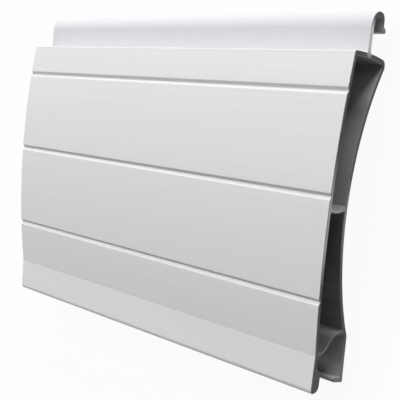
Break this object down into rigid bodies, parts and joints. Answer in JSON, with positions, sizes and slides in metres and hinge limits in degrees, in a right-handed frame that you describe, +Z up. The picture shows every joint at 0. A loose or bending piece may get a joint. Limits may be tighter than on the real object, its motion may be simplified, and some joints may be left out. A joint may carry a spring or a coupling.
{
  "type": "roller shutter slat",
  "caption": "Short cut length of a hollow aluminium shutter slat: bowed grooved face, hollow back, inner webs, a hook along the upper edge and a pocket with a lip and foot along the lower one.",
  "frame": {"origin": "centre of the floor area that the slat covers as it lies on its back", "axes": "+X along the slat, +Y across it towards the hook, +Z up out of the grooved face"},
  "size_m": [0.1064, 0.087, 0.0185],
  "materials": {
    "slat": "satin silver face with fine lengthwise drawing lines, plain metal inside, sawn ends"
  },
  "bodies": {
    "root": {"slat": "slat"}
  },
  "joints": []
}
